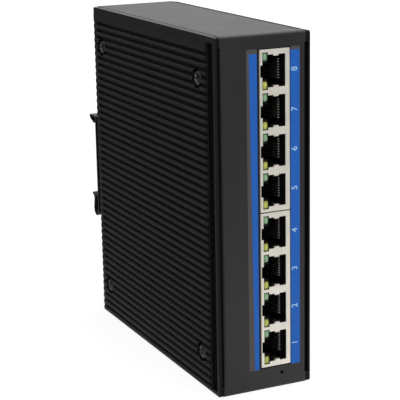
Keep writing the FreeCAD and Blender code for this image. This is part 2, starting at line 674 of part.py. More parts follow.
def backing_plate():
    """The plate that holds the clip off the rear panel."""
    half = BACKING_WIDTH / 2
    plate = block(-half, half, BACK, BACK + CLIP_STANDOFF, CLIP_MIDDLE - BACKING_HEIGHT / 2,
                  CLIP_MIDDLE + BACKING_HEIGHT / 2)
    holes = [shank(HOLE_RADIUS, V(x, BACK - CUT, z), Y, CLIP_STANDOFF + 2 * CUT) for x, z in CLIP_SPOTS]
    return plate.cut(holes)


def clip_fixings():
    """The clip's screws and the nuts behind the rear panel."""
    seat = BACK + CLIP_STANDOFF + CLIP_SHEET
    screws = [screw(CLIP_HEAD_HEIGHT, CLIP_SCREW_LENGTH, V(x, seat, z), Y * -1) for x, z in CLIP_SPOTS]
    nuts = [nut(V(x, BACK - SHEET, z), Y * -1) for x, z in CLIP_SPOTS]
    return Part.makeCompound(screws), Part.makeCompound(nuts)


def main():
    os.makedirs("parts", exist_ok=True)
    save("front_chassis", front_chassis())
    save("rear_panel", rear_panel())
    left_plate, right_plate = both_sides(side_plate())
    save("side_plate_left", left_plate)
    save("side_plate_right", right_plate)
    screws, nuts = side_screws()
    left_screws, right_screws = both_sides(screws)
    save("side_screws_left", left_screws)
    save("side_screws_right", right_screws)
    save("clinch_nuts", Part.makeCompound(list(both_sides(nuts))))

    lower, upper = at_modules(shield)
    save("jack_shield_lower", lower[0])
    save("jack_shield_upper", upper[0])
    lower, upper = at_modules(insulator)
    save("jack_body_lower", lower[0])
    save("jack_body_upper", upper[0])
    lower, upper = at_modules(contacts)
    save("jack_contacts_lower", Part.makeCompound(lower))
    save("jack_contacts_upper", Part.makeCompound(upper))
    for name, side in (("lamps_green", 1), ("lamps_yellow", -1)):
        lower, upper = at_modules(lambda: lamps(side))
        save(name, Part.makeCompound(lower + upper))
    save("port_strip_left", strip(LEFT_STRIP))
    save("port_strip_right", strip(RIGHT_STRIP))
    save("power_lamp", power_lamp())

    save("main_board", main_board())
    save("board_standoffs", Part.makeCompound(standoffs()))
    save("switch_chip", switch_chip())
    save("chip_heat_sink", heat_sink())
    save("network_transformers", transformers())
    save("power_inductor", round_part(INDUCTOR_DIAMETER, INDUCTOR_HEIGHT, INDUCTOR_PLACE))
    cans = [round_part(CAPACITOR_DIAMETER, CAPACITOR_HEIGHT, place) for place in CAPACITOR_PLACES]
    save("filter_capacitors", Part.makeCompound(cans))
    save("terminal_header", terminal_header())
    save("terminal_pins", header_pins())

    save("rail_clip", rail_clip())
    save("clip_backing_plate", backing_plate())
    screws, nuts = clip_fixings()
    save("clip_screws", screws)
    save("clip_nuts", nuts)


main()
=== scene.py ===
import math

import bmesh
import bpy
import numpy as np
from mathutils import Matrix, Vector


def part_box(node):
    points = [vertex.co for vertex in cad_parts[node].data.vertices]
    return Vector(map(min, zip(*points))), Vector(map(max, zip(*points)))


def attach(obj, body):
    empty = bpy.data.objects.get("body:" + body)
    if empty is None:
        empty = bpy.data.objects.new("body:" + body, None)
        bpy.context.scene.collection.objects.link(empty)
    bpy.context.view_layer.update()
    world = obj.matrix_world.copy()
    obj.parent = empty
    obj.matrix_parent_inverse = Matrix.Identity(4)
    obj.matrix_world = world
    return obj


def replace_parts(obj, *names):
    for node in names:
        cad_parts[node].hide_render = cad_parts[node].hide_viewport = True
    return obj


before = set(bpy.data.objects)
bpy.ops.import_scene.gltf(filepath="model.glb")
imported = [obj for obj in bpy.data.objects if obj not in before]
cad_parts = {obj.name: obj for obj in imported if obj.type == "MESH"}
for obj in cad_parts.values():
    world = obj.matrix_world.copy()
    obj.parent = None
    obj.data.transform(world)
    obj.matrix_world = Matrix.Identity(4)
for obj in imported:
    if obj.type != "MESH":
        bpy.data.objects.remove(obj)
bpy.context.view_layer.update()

# Looks of an eight-port industrial ethernet switch for a 35 mm rail, built round its fixed frame.
# Lengths in the functions are millimetres in the frame's own axes: ports face -Y, rail clip at +Y, +Z up.

bl_info = {
    "name": "Rail switch looks",
    "version": (1, 0, 0),
    "blender": (4, 5, 0),
    "location": "View3D > Sidebar > Rail switch",
    "description": "Dresses the rail switch: finned plates, jacks, lamps, strips, screws and stage",
    "category": "Object",
}

MM = 0.001
SIDES = {"left": -1, "right": 1}


def span(node):
    """Lowest and highest corners of a frame node, in millimetres."""
    low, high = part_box(node)
    return np.array(low) / MM, np.array(high) / MM


CASE_LOW, CASE_HIGH = span("front_chassis")
PLATE_LOW, PLATE_HIGH = span("side_plate_left")
FRONT, BACK = CASE_LOW[1], CASE_HIGH[1]
CASE_DEPTH = BACK - FRONT
PLATE_THICKNESS = PLATE_HIGH[0] - PLATE_LOW[0]
CREST = -PLATE_LOW[0]              # from the middle plane to the fins' crests


# ------------------------------------------------------------------ settings
class PlateSettings(bpy.types.PropertyGroup):
    """Sizes of the finned side plates"""
    fin_pitch: bpy.props.FloatProperty(
        name="Fin pitch", description="Height from one fin to the next", default=3.075 * MM, unit="LENGTH")
    first_groove: bpy.props.FloatProperty(
        name="First groove", description="Height of the lowest groove's middle", default=2.6 * MM, unit="LENGTH")
    fin_height: bpy.props.FloatProperty(
        name="Fin height", description="How far the fins stand out", default=1.35 * MM, unit="LENGTH")
    mouth: bpy.props.FloatProperty(
        name="Groove mouth", description="Width of a groove at the crests", default=1.95 * MM, unit="LENGTH")
    floor: bpy.props.FloatProperty(
        name="Groove floor", description="Width of a groove's floor", default=0.9 * MM, unit="LENGTH")
    shoulder: bpy.props.FloatProperty(
        name="Shoulder radius", description="Rounding of the fins' crests", default=0.5 * MM, unit="LENGTH")
    fin_start: bpy.props.FloatProperty(
        name="Fin start", description="Where the crests begin, behind the front", default=9.0 * MM, unit="LENGTH")
    channel_start: bpy.props.FloatProperty(
        name="Channel start", description="Where the front channel begins", default=1.7 * MM, unit="LENGTH")
    channel_depth: bpy.props.FloatProperty(
        name="Channel depth", description="Depth of the front channel", default=2.1 * MM, unit="LENGTH")
    lip_width: bpy.props.FloatProperty(
        name="Lip width", description="Width of the front lip", default=1.15 * MM, unit="LENGTH")
    rebate: bpy.props.FloatProperty(
        name="Rebate depth", description="Depth of the shadow groove by the lip", default=1.1 * MM, unit="LENGTH")
    scallop: bpy.props.FloatProperty(
        name="Scallop depth", description="Depth of the grooves at the back edge", default=0.3 * MM, unit="LENGTH")
    top_band: bpy.props.FloatProperty(
        name="Top band", description="Height of the plain band at the top", default=3.3 * MM, unit="LENGTH")
    pocket: bpy.props.FloatProperty(
        name="Pocket diameter", description="Width of a screw pocket", default=7.8 * MM, unit="LENGTH")


class FinishSettings(bpy.types.PropertyGroup):
    """Colours of the paint and the print"""
    case_colour: bpy.props.FloatVectorProperty(
        name="Case paint", description="Charcoal of the folded chassis", default=(0.009, 0.009, 0.0094),
        subtype="COLOR", size=3)
    plate_colour: bpy.props.FloatVectorProperty(
        name="Plate paint", description="Charcoal of the cast side plates", default=(0.0125, 0.0125, 0.0127),
        subtype="COLOR", size=3)
    strip_colour: bpy.props.FloatVectorProperty(
        name="Strip blue", description="Blue of the strips beside the ports", default=(0.013, 0.132, 0.56),
        subtype="COLOR", size=3)
    border_colour: bpy.props.FloatVectorProperty(
        name="Strip grey", description="Grey of the strips' borders", default=(0.085, 0.08, 0.078),
        subtype="COLOR", size=3)
    number_colour: bpy.props.FloatVectorProperty(
        name="Numbers", description="Pale blue of the port numbers", default=(0.42, 0.7, 1.0),
        subtype="COLOR", size=3)
    grain: bpy.props.FloatProperty(
        name="Paint grain", description="Size of the powder coat's grain", default=0.35 * MM, unit="LENGTH")


class JackSettings(bpy.types.PropertyGroup):
    """Sizes of the ganged jacks' lamps and contacts"""
    lamp_crown: bpy.props.FloatProperty(
        name="Lamp crown", description="How far a lamp's face bulges", default=0.45 * MM, unit="LENGTH")
    wire: bpy.props.FloatProperty(
        name="Contact width", description="Width of a contact wire", default=0.21 * MM, unit="LENGTH")
    contact_bend: bpy.props.FloatProperty(
        name="Contact bend", description="Radius of the bend at a contact's front", default=0.42 * MM, unit="LENGTH")
    ports: bpy.props.IntProperty(
        name="Ports in a module", description="Ports in each ganged jack", default=4, min=1, max=8)
    pitch: bpy.props.FloatProperty(
        name="Port pitch", description="Height from one port to the next", default=15.5 * MM, unit="LENGTH")


class ScrewSettings(bpy.types.PropertyGroup):
    """Sizes of the pan-head screws"""
    head: bpy.props.FloatProperty(
        name="Head diameter", description="Width of the pan heads", default=5.6 * MM, unit="LENGTH")
    recess_span: bpy.props.FloatProperty(
        name="Recess span", description="Length of the cross recess", default=3.9 * MM, unit="LENGTH")
    recess_width: bpy.props.FloatProperty(
        name="Recess width", description="Width of the cross recess", default=0.95 * MM, unit="LENGTH")
    recess_depth: bpy.props.FloatProperty(
        name="Recess depth", description="Depth of the cross recess", default=0.75 * MM, unit="LENGTH")


class StageSettings(bpy.types.PropertyGroup):
    """Strength of the light, and the camera's lens"""
    ambient: bpy.props.FloatProperty(
        name="Ambient", description="Strength of the soft light from all round", default=0.3, min=0, max=2)
    top_power: bpy.props.FloatProperty(
        name="Top light", description="Power of the soft light overhead", default=6.0, min=0, unit="POWER")
    front_power: bpy.props.FloatProperty(
        name="Front light", description="Power of the soft light at the front left", default=2.2, min=0,
        unit="POWER")
    lens: bpy.props.FloatProperty(
        name="Lens", description="Focal length of the camera", default=124.82, min=10)


# ------------------------------------------------------------------ mesh helpers
def tube(grid):
    """A grid of rows by columns by xyz, closed round its columns, with a flat cap on its first and last row.
    Face (i, j) has corners (i, j), (i, j+1), (i+1, j+1), (i+1, j)."""
    rows, columns = grid.shape[:2]
    row = columns * np.arange(rows - 1)[:, None]
    here = np.arange(columns)
    beside = (here + 1) % columns
    sides = np.stack([row + here, row + beside, row + columns + beside, row + columns + here], -1).reshape(-1, 4)
    first = tuple(range(columns))[::-1]
    last = tuple(range((rows - 1) * columns, rows * columns))
    return grid.reshape(-1, 3), [*map(tuple, sides.tolist()), first, last]


def joined(parts):
    """Vertices and faces of many parts as one list of each."""
    points, faces, start = [], [], 0
    for verts, parts_faces in parts:
        points.append(np.asarray(verts, float))
        faces += [tuple(v + start for v in face) for face in parts_faces]
        start += len(verts)
    return np.concatenate(points), faces


def new_object(name, data):
    """A new object in the scene that holds a mesh, a curve, a light or a camera."""
    thing = bpy.data.objects.new(name, data)
    bpy.context.scene.collection.objects.link(thing)
    return thing


def closed_mesh(name, verts, faces):
    """A mesh from vertices in millimetres, its faces turned outwards."""
    mesh = bpy.data.meshes.new(name)
    mesh.from_pydata((np.asarray(verts) * MM).tolist(), [], faces)
    mesh.update()
    work = bmesh.new()
    work.from_mesh(mesh)
    bmesh.ops.recalc_face_normals(work, faces=work.faces)
    work.to_mesh(mesh)
    work.free()
    return mesh


def smooth(mesh, sharp):
    """Smooth shading but for edges sharper than an angle in degrees."""
    mesh.shade_smooth()
    mesh.set_sharp_from_angle(angle=math.radians(sharp))


def piece(name, verts, faces, material, slot, sharp):
    """A new visible piece that rides on the root and wears the material it is given; the slot is not used."""
    mesh = closed_mesh(name, verts, faces)
    smooth(mesh, sharp)
    mesh.materials.append(material)
    thing = new_object(name, mesh)
    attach(thing, "root")
    return thing


def evaluated_mesh(thing):
    """A new mesh with an object's modifiers, or its text, worked out."""
    bpy.context.view_layer.update()
    return bpy.data.meshes.new_from_object(thing.evaluated_get(bpy.context.evaluated_depsgraph_get()))


def read(items, name, width):
    """One property of all of a mesh's vertices or faces, as an array with a row for each."""
    values = np.empty(width * len(items))
    items.foreach_get(name, values)
    return values.reshape(-1, width)


def mark(thing, name, values):
    """Give a piece's points an attribute that its material reads."""
    thing.data.attributes.new(name, "FLOAT", "POINT").data.foreach_set("value", np.asarray(values, float))


def arc(middle, radius, start, end, count):
    """Points on an arc: the middle plus the radius times (cosine, sine) of angles in degrees."""
    turn = np.radians(np.linspace(start, end, count))
    return np.stack([middle[0] + radius * np.cos(turn), middle[1] + radius * np.sin(turn)], 1)


def cylinder(radius, centre, depth):
    """A plain cylinder along X from x = depth[0] to depth[1] round a centre (y, z)."""
    sides = 72
    turn = np.linspace(0, 2 * math.pi, sides, endpoint=False)
    grid = np.zeros((2, sides, 3))
    grid[:, :, 0] = np.reshape(depth, (2, 1))
    grid[:, :, 1] = centre[0] + radius * np.cos(turn)
    grid[:, :, 2] = centre[1] + radius * np.sin(turn)
    return tube(grid)


def dress(material, *names):
    """Give frame nodes a material in their own slots."""
    for name in names:
        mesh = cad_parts[name].data
        mesh.materials.clear()
        mesh.materials.append(material)


# ------------------------------------------------------------------ materials
class Tree:
    """A short way to add nodes to the tree of a material or the world."""
    blend = "LINEAR"

    def __init__(self, owner, output):
        owner.use_nodes = True
        self.tree = owner.node_tree
        self.tree.nodes.clear()
        self.out = self.add(output)

    def add(self, kind, **values):
        """A new node, with some of its properties set."""
        node = self.tree.nodes.new(kind)
        for key, value in values.items():
            setattr(node, key, value)
        return node

    def feed(self, socket, value):
        """Link another socket into a socket, or set its constant."""
        if hasattr(value, "links"):
            self.tree.links.new(value, socket)
        elif socket.type == "RGBA":
            socket.default_value = (*value, 1.0)
        else:
            socket.default_value = value

    def ramp(self, source, low, high, first, last):
        """Map a value from low..high to first..last, held at the ends."""
        node = self.add("ShaderNodeMapRange", interpolation_type=self.blend)
        for name, value in (("Value", source), ("From Min", low), ("From Max", high), ("To Min", first),
                            ("To Max", last)):
            self.feed(node.inputs[name], value)
        return node.outputs["Result"]

    def math(self, kind, first, second):
        """One operation on two values, each a number or a socket."""
        node = self.add("ShaderNodeMath", operation=kind)
        self.feed(node.inputs[0], first)
        self.feed(node.inputs[1], second)
        return node.outputs[0]

    def axis(self, place, letter):
        """One axis of a place."""
        node = self.add("ShaderNodeSeparateXYZ")
        self.feed(node.inputs[0], place)
        return node.outputs[letter]


class Finish(Tree):
    """The nodes of one finish: a principled shader, and patterns on the object's own coordinates."""

    def __init__(self, name):
        self.material = bpy.data.materials.new(name)
        super().__init__(self.material, "ShaderNodeOutputMaterial")
        self.shader = self.add("ShaderNodeBsdfPrincipled")
        self.feed(self.out.inputs["Surface"], self.shader.outputs[0])
        self.place = self.add("ShaderNodeTexCoord").outputs["Object"]

    def noise(self, size, detail, roughness=0.55, stretch=(1, 1, 1)):
        """Noise whose features are about a size in metres, over the stretch of each axis."""
        moved = self.add("ShaderNodeMapping")
        self.feed(moved.inputs["Vector"], self.place)
        self.feed(moved.inputs["Scale"], stretch)
        node = self.add("ShaderNodeTexNoise")
        for name, value in (("Vector", moved.outputs["Vector"]), ("Scale", 1.0 / size), ("Detail", detail),
                            ("Roughness", roughness)):
            self.feed(node.inputs[name], value)
        return node.outputs["Fac"]

    def mix(self, factor, first, second):
        """Blend two colours, each a colour or a socket."""
        node = self.add("ShaderNodeMix", data_type="RGBA")
        for socket, value in zip((node.inputs["Factor"], *node.inputs[6:8]), (factor, first, second)):
            self.feed(socket, value)
        return node.outputs[2]

    def mottle(self, source, colour, down, up, low=0.3, high=0.7):
        """A colour that drifts from a darker to a lighter shade of itself as a noise goes from low to high."""
        return self.mix(self.ramp(source, low, high, 0, 1), shade(colour, down), shade(colour, up))

    def bump(self, height, distance, under=None):
        """Bump of a height over a distance in metres, on top of another bump where one is given."""
        node = self.add("ShaderNodeBump")
        for name, value in (("Strength", 1.0), ("Distance", distance), ("Height", height)):
            self.feed(node.inputs[name], value)
        if under is not None:
            self.feed(node.inputs["Normal"], under)
        return node.outputs["Normal"]

    def done(self, **values):
        """Set or link the shader's inputs by short names, and give the material."""
        names = {"colour": "Base Color", "metal": "Metallic", "rough": "Roughness", "specular": "Specular IOR Level",
                 "normal": "Normal", "subsurface": "Subsurface Weight", "subsurface_scale": "Subsurface Scale"}
        for key, value in values.items():
            self.feed(self.shader.inputs[names[key]], value)
        return self.material


def shade(colour, factor):
    """A colour times a factor."""
    return tuple(min(1.0, c * factor) for c in colour)


def powder_coat(name, colour, rough, specular, grain, depth, cloud, crest=None):
    """Powder coat: a fine pebbled grain over slow drifts of tone and gloss. Where a crest, a distance from the
    middle plane, is given, shade is painted into the grooves under it: their colour goes nearly black and their gloss
    a little duller."""
    n = Finish(name)
    drift = n.noise(cloud, 2.0)
    pebble = n.noise(grain, 2.0, 0.5)
    fine = n.noise(grain * 0.3, 2.0, 0.6)
    tone = n.mottle(drift, colour, 0.9, 1.12, 0.35, 0.65)
    tone = n.mix(n.ramp(fine, 0.55, 0.75, 0, 0.35), tone, shade(colour, 1.7))
    gloss = n.ramp(drift, 0.3, 0.7, rough - 0.015, rough + 0.02)
    if crest is not None:
        level = n.math("ABSOLUTE", n.axis(n.place, "X"), 0.0)
        # painted shade: the grooves under the crests are coloured nearly black
        groove_shade = n.ramp(level, crest - 1.1 * MM, crest - 0.15 * MM, 1, 0)
        tone = n.mix(groove_shade, tone, shade(colour, 0.05))
        gloss = n.math("ADD", gloss, n.math("MULTIPLY", groove_shade, 0.1))
    normal = n.bump(fine, depth * 0.35, under=n.bump(pebble, depth))
    return n.done(colour=tone, rough=gloss, specular=specular, normal=normal)


def case_coat(name):
    """The satin powder coat of the folded sheets."""
    f = bpy.context.scene.switch_finish
    return powder_coat(name, f.case_colour, 0.36, 0.5, f.grain, 0.006 * MM, 20 * MM)


def plate_coat(name):
    """The coarser, duller powder coat of the cast plates, with painted shade in their grooves."""
    f = bpy.context.scene.switch_finish
    return powder_coat(name, f.plate_colour, 0.45, 0.15, f.grain * 1.6, 0.014 * MM, 12 * MM, CREST * MM)


def rolled_metal(name, colour, rough, stretch, metal=1.0, face=None, edge=None):
    """Plated sheet: rolling lines along one axis, cloudy gloss and faint handling marks. Behind a front face at
    y = face, where it is given, the colour is painted dark as shade, and along a bent edge at x = edge, where it is
    given, it is painted dark as the bend's reflection."""
    n = Finish(name)
    lines = n.noise(0.5 * MM, 4.0, 0.6, stretch)
    tone = n.mottle(n.noise(6 * MM, 3.0), colour, 0.93, 1.05, 0.35, 0.7)
    if face is not None:
        # painted shade: the colour goes dark behind the front face
        face_shade = n.ramp(n.axis(n.place, "Y"), face, face + 0.9 * MM, 0, 1)
        tone = n.mix(face_shade, tone, shade(colour, 0.04))
    if edge is not None:
        # painted reflection: the colour goes dark along the bent edge
        edge_reflection = n.ramp(n.axis(n.place, "X"), edge, edge + 0.6 * MM, 1, 0)
        tone = n.mix(edge_reflection, tone, shade(colour, 0.12))
    gloss = n.ramp(lines, 0.3, 0.7, rough - 0.06, rough + 0.08)
    return n.done(colour=tone, metal=metal, rough=gloss, normal=n.bump(lines, 0.003 * MM))


def moulded(name, colour, rough, specular=0.5, grain=0.18 * MM, depth=0.004 * MM):
    """Moulded plastic: an even fine spark-eroded grain and slightly uneven gloss."""
    n = Finish(name)
    fine = n.noise(grain, 3.0, 0.6)
    tone = n.mottle(n.noise(4 * MM, 2.0), colour, 0.92, 1.08)
    gloss = n.ramp(fine, 0.3, 0.7, max(0.05, rough - 0.05), rough + 0.05)
    return n.done(colour=tone, rough=gloss, specular=specular, normal=n.bump(fine, depth))


def printed_film(name, blue, grey, border, top, inner=None):
    """Printed film: blue ink between a grey border and a grey end above z = top, with a soft speckle. The
    border's edge runs along x = a + b z; border is (a in metres, b, +1 or -1 for the side that is grey). Past
    x = inner, where it is given, the colour is painted black as the shadow in the gap by the jacks."""
    n = Finish(name)
    across, up = n.axis(n.place, "X"), n.axis(n.place, "Z")
    start, slant, side = border
    line = n.math("ADD", n.math("MULTIPLY", up, slant), start)
    past = n.math("MULTIPLY", n.math("SUBTRACT", across, line), side)
    edge = n.ramp(past, -0.08 * MM, 0.08 * MM, 0, 1)
    end = n.ramp(up, top - 0.08 * MM, top + 0.08 * MM, 0, 1)
    speck = n.noise(0.12 * MM, 2.0)
    ink = n.mottle(speck, blue, 0.93, 1.06)
    ink = n.mix(n.ramp(n.noise(9 * MM, 2.0), 0.3, 0.7, 0, 0.5), ink, shade(blue, 1.12))
    tone = n.mix(n.math("MAXIMUM", edge, end), ink, n.mottle(speck, grey, 0.92, 1.08))
    if inner is not None:
        # painted shade: past x = inner the film is coloured black for the shadowed gap by the jacks
        tone = n.mix(n.ramp(across, inner - 0.03 * MM, inner + 0.03 * MM, 0, 1), tone, (0.001, 0.001, 0.002))
    return n.done(colour=tone, rough=0.5, specular=0.3, normal=n.bump(speck, 0.002 * MM))


def milky_plastic(name, lit_core_colour, shaded_rim_colour):
    """Milky lamp plastic that scatters a little light inside it, with its colour painted palest along the middle and
    darker towards the rim, as the painted highlight and shade of the bulging window.
    """
    n = Finish(name)
    highlight_share = n.add("ShaderNodeAttribute", attribute_name="highlight_share").outputs["Fac"]
    cloud = n.noise(1.1 * MM, 2.0)
    # painted highlight and shade: pale along the middle, dark towards the rim
    tone = n.mix(n.ramp(highlight_share, 0.05, 0.95, 0, 1), shaded_rim_colour, lit_core_colour)
    tone = n.mix(n.ramp(cloud, 0.35, 0.7, 0, 0.25), tone, shaded_rim_colour)
    return n.done(colour=tone, rough=0.3, specular=0.4, subsurface=0.1, subsurface_scale=0.3 * MM,
                  normal=n.bump(cloud, 0.01 * MM))


# ------------------------------------------------------------------ finned plates
RIM = 0.4                # round of a plate's outer rim
CORNER = 1.0             # round of its four corners
CORNER_FADE = 4.0        # the corners' rounds fade out over this length
GROOVE_FOOT = 0.3        # round at a groove's floor
CHANNEL_FOOT = 0.3       # round at the channel's floor
CHANNEL_BROW = 0.2       # round at the channel's mouth
CHANNEL_TOP_GAP = 2.5    # from the channel's end to the top of the case
LIP_ROUND = 0.12         # round of the lip's inner edge
RELIEF = 4.4             # from the rebate's ends to the bottom and the top of the case
BAND_STEP = 0.2          # the top band lies this much under the crests
JUMP = 0.02              # half the height over which the channel, the rebate or the band starts
PLATE_SHARP = 32         # degrees: only edges sharper than this stay sharp


def groove_half(s):
    """Half of one groove's section, from its middle out to the crest, as (height, depth) pairs: a flat floor, a
    rounded corner, a drafted wall and a rounded shoulder. Each round touches both of its straight runs."""
    floor, mouth, deep = s.floor / MM / 2, s.mouth / MM / 2, s.fin_height / MM
    bend = math.degrees(math.acos((mouth - floor) / math.hypot(mouth - floor, deep)))
    reach = math.tan(math.radians(bend / 2))
    shoulder = s.shoulder / MM
    low = arc((floor - GROOVE_FOOT * reach, deep - GROOVE_FOOT), GROOVE_FOOT, 90, 90 - bend, 3)
    high = arc((mouth + shoulder * reach, shoulder), shoulder, -90 - bend, -90, 5)
    return np.concatenate([[(0.0, deep)], low, high])


def end_round(near, radius):
    """How far a quarter round cuts in at a distance from an end: r - sqrt(r^2 - (r - near)^2), and nothing past r."""
    return radius - np.sqrt(np.maximum(0, radius ** 2 - np.maximum(0, radius - near) ** 2))


def plate_rows(s):
    """Heights of the plate's rows, and at each row the grooves' depth, whether the channel, the rebate and the top
    band are there, and how far the rim's and the corners' rounds cut in."""
    low, high = PLATE_LOW[2], PLATE_HIGH[2]
    half = groove_half(s)
    pitch, first, mouth = s.fin_pitch / MM, s.first_groove / MM, s.mouth / MM
    band = CASE_HIGH[2] - s.top_band / MM
    count = 1 + int((band - mouth - first) / pitch)
    middles = first + pitch * np.arange(count)
    across = np.concatenate([-half[::-1, 0], half[1:, 0]])
    grooves = (middles[:, None] + across).ravel()
    depth = np.tile(np.concatenate([half[::-1, 1], half[1:, 1]]), count)
    channel = (first - mouth / 2, CASE_HIGH[2] - CHANNEL_TOP_GAP)
    rebate = (RELIEF, CASE_HIGH[2] - RELIEF)
    changes = np.add.outer((*channel, *rebate, band), (-JUMP, JUMP)).ravel()
    ends = np.array([0, 0.04, 0.12, 0.25, 0.4, 0.7, 1.0])
    z = np.unique(np.concatenate([grooves, changes, low + ends, high - ends]).round(5))
    near = np.minimum(z - low, high - z)
    return (z, np.interp(z, grooves, depth), (z > channel[0]) & (z < channel[1]), (z > rebate[0]) & (z < rebate[1]),
            z > band, end_round(near, RIM), end_round(near, CORNER))


def run(points, groove=0.0, channel=0, rebate=0):
    """Outline points, each (distance from the front, depth under the crests), with the share of the grooves that
    they take, and 1 where they belong to the channel or to the rebate."""
    points = np.atleast_2d(points)
    return np.column_stack([points, np.tile([groove, channel, rebate], (len(points), 1))])


def plate_path(s):
    """The plate's outline in plan, from the back outer edge round to the inner face. The fins' noses are quarter
    rounds, and the grooves fade to scallops at the back edge."""
    high, start, nose, deep = s.fin_height / MM, s.channel_start / MM, s.fin_start / MM, s.channel_depth / MM
    lip, back = s.lip_width / MM, s.rebate / MM
    scallop = s.scallop / s.fin_height
    fade = ((2.1, scallop), (2.25, scallop * 1.6), (2.4, 0.8), (2.6, 1))      # distance from the back, share
    return np.concatenate([
        run(arc((CASE_DEPTH - RIM, RIM), RIM, 0, -90, 6), scallop),
        *(run((CASE_DEPTH - away, 0), share) for away, share in fade),
        run([(y, 0) for y in np.linspace(CASE_DEPTH - 8, nose + 4, 7)], 1),
        run(arc((nose, high), high, -90, -180, 8), 1, channel=1),
        run([(nose - high - 0.02, deep - 0.3), (nose - high - 0.3, deep)], channel=1),
        run(arc((start + CHANNEL_FOOT, deep - CHANNEL_FOOT), CHANNEL_FOOT, 90, 180, 4), channel=1),
        run(arc((start - CHANNEL_BROW, CHANNEL_BROW), CHANNEL_BROW, 0, -90, 4), channel=1),
        run(arc((RIM, RIM), RIM, -90, -180, 5)),
        run(arc((LIP_ROUND, lip - LIP_ROUND), LIP_ROUND, 180, 90, 3), rebate=1),
        run([(back, lip + 0.01), (back, PLATE_THICKNESS)], rebate=1),
        run([(CASE_DEPTH * part, PLATE_THICKNESS) for part in (0.25, 0.6, 1)]),
        run((CASE_DEPTH, 1.2)),
    ])


def finned_plate(s):
    """The left plate as one closed grid: rows are heights, columns go round the plan outline. Depth at a point is
    the greatest of the outline's own depth, the grooves' depth times its share, the top band's step and the rim's
    round. Outside the rebate's height its points lie on the front, and the corners' rounds move points inwards."""
    z, *rows = plate_rows(s)
    grooves, channel, rebate, band, rim, corner = (row[:, None] for row in rows)
    from_front, own, share, in_channel, in_rebate = plate_path(s).T
    outer = (in_channel == 1) | (share > 0) | ((in_rebate == 0) & (own < RIM + 0.01))
    deep = np.where(in_channel == 1, own * channel, own)
    deep = np.maximum(deep, grooves * share)
    deep = np.maximum(deep, np.where(share > 0, BAND_STEP * band, 0))
    deep = np.where(outer, np.maximum(deep, rim), deep)
    y = np.where(in_rebate == 1, from_front * rebate, from_front)
    y = y + corner * (np.clip(1 - y / CORNER_FADE, 0, 1) - np.clip(1 - (CASE_DEPTH - y) / CORNER_FADE, 0, 1))
    x = PLATE_LOW[0] + np.minimum(deep, PLATE_THICKNESS)
    return tube(np.stack([x, FRONT + y, np.broadcast_to(z[:, None], x.shape)], -1))


def side_spots(side):
    """Middles (y, z) of the four screws of a side, a head's radius inside the corners of their node's box."""
    low, high = span("side_screws_" + side)
    head = bpy.context.scene.switch_screws.head / MM / 2
    return [(y, z) for y in (low[1] + head, high[1] - head) for z in (low[2] + head, high[2] - head)]


def cut_pockets(thing, side, s):
    """Sink the four round screw pockets into a plate, a hair below the grooves' floor."""
    out = SIDES[side]
    depth = sorted((out * (CREST + 1), out * (CREST - s.fin_height / MM - 0.01)))
    verts, faces = joined([cylinder(s.pocket / MM / 2, spot, depth) for spot in side_spots(side)])
    tool = new_object("pocket_cutter", closed_mesh("pocket_cutter", verts, faces))
    change = thing.modifiers.new("pockets", "BOOLEAN")
    change.operation, change.object, change.solver = "DIFFERENCE", tool, "EXACT"
    mesh = evaluated_mesh(thing)
    thing.modifiers.clear()
    thing.data = mesh
    smooth(mesh, PLATE_SHARP)
    bpy.data.objects.remove(tool)


def coat_top_edge(thing, paint):
    """Give the faces of a plate's flat upper edge, whose normals point up, a second paint."""
    mesh = thing.data
    mesh.materials.append(paint)
    heights = read(mesh.polygons, "center", 3)[:, 2]
    chosen = (read(mesh.polygons, "normal", 3)[:, 2] > 0.9) & (heights > heights.max() - 0.5 * MM)
    mesh.polygons.foreach_set("material_index", chosen.astype(np.int32))


class SWITCH_OT_side_plates(bpy.types.Operator):
    """Build both finned side plates"""
    bl_idname = "switch.side_plates"
    bl_label = "Side plates"

    def execute(self, context):
        s = context.scene.switch_plates
        paint = plate_coat("plate_paint")
        verts, faces = finned_plate(s)
        shapes = {"left": (verts, faces), "right": (verts * (-1, 1, 1), [face[::-1] for face in faces])}
        plates = {side: piece("finned_plate_" + side, *shape, paint, "case_paint", PLATE_SHARP)
                  for side, shape in shapes.items()}
        for side, thing in plates.items():
            cut_pockets(thing, side, s)
            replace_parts(thing, "side_plate_" + side)
        coat_top_edge(plates["left"], case_coat("plate_edge_paint"))
        return {"FINISHED"}


# ------------------------------------------------------------------ screws
SHANK_RADIUS = 1.5
SHANK_BEVEL = 0.3
POLE = 0.001             # radius of the closed poles at both ends
RECESS_EDGE = 0.14       # width of the recess's steep walls
SIDE_SCREW = (1.28, 4.9)   # height of the head, length of the shank
CLIP_SCREW = (1.18, 5.9)
CLIP_SEAT = 1.2          # the clip's heads sit this far inside the end of their node's box
FIRST_TURN = 20          # degrees, of the first screw of a set
NEXT_TURN = 47           # and from each screw to the next


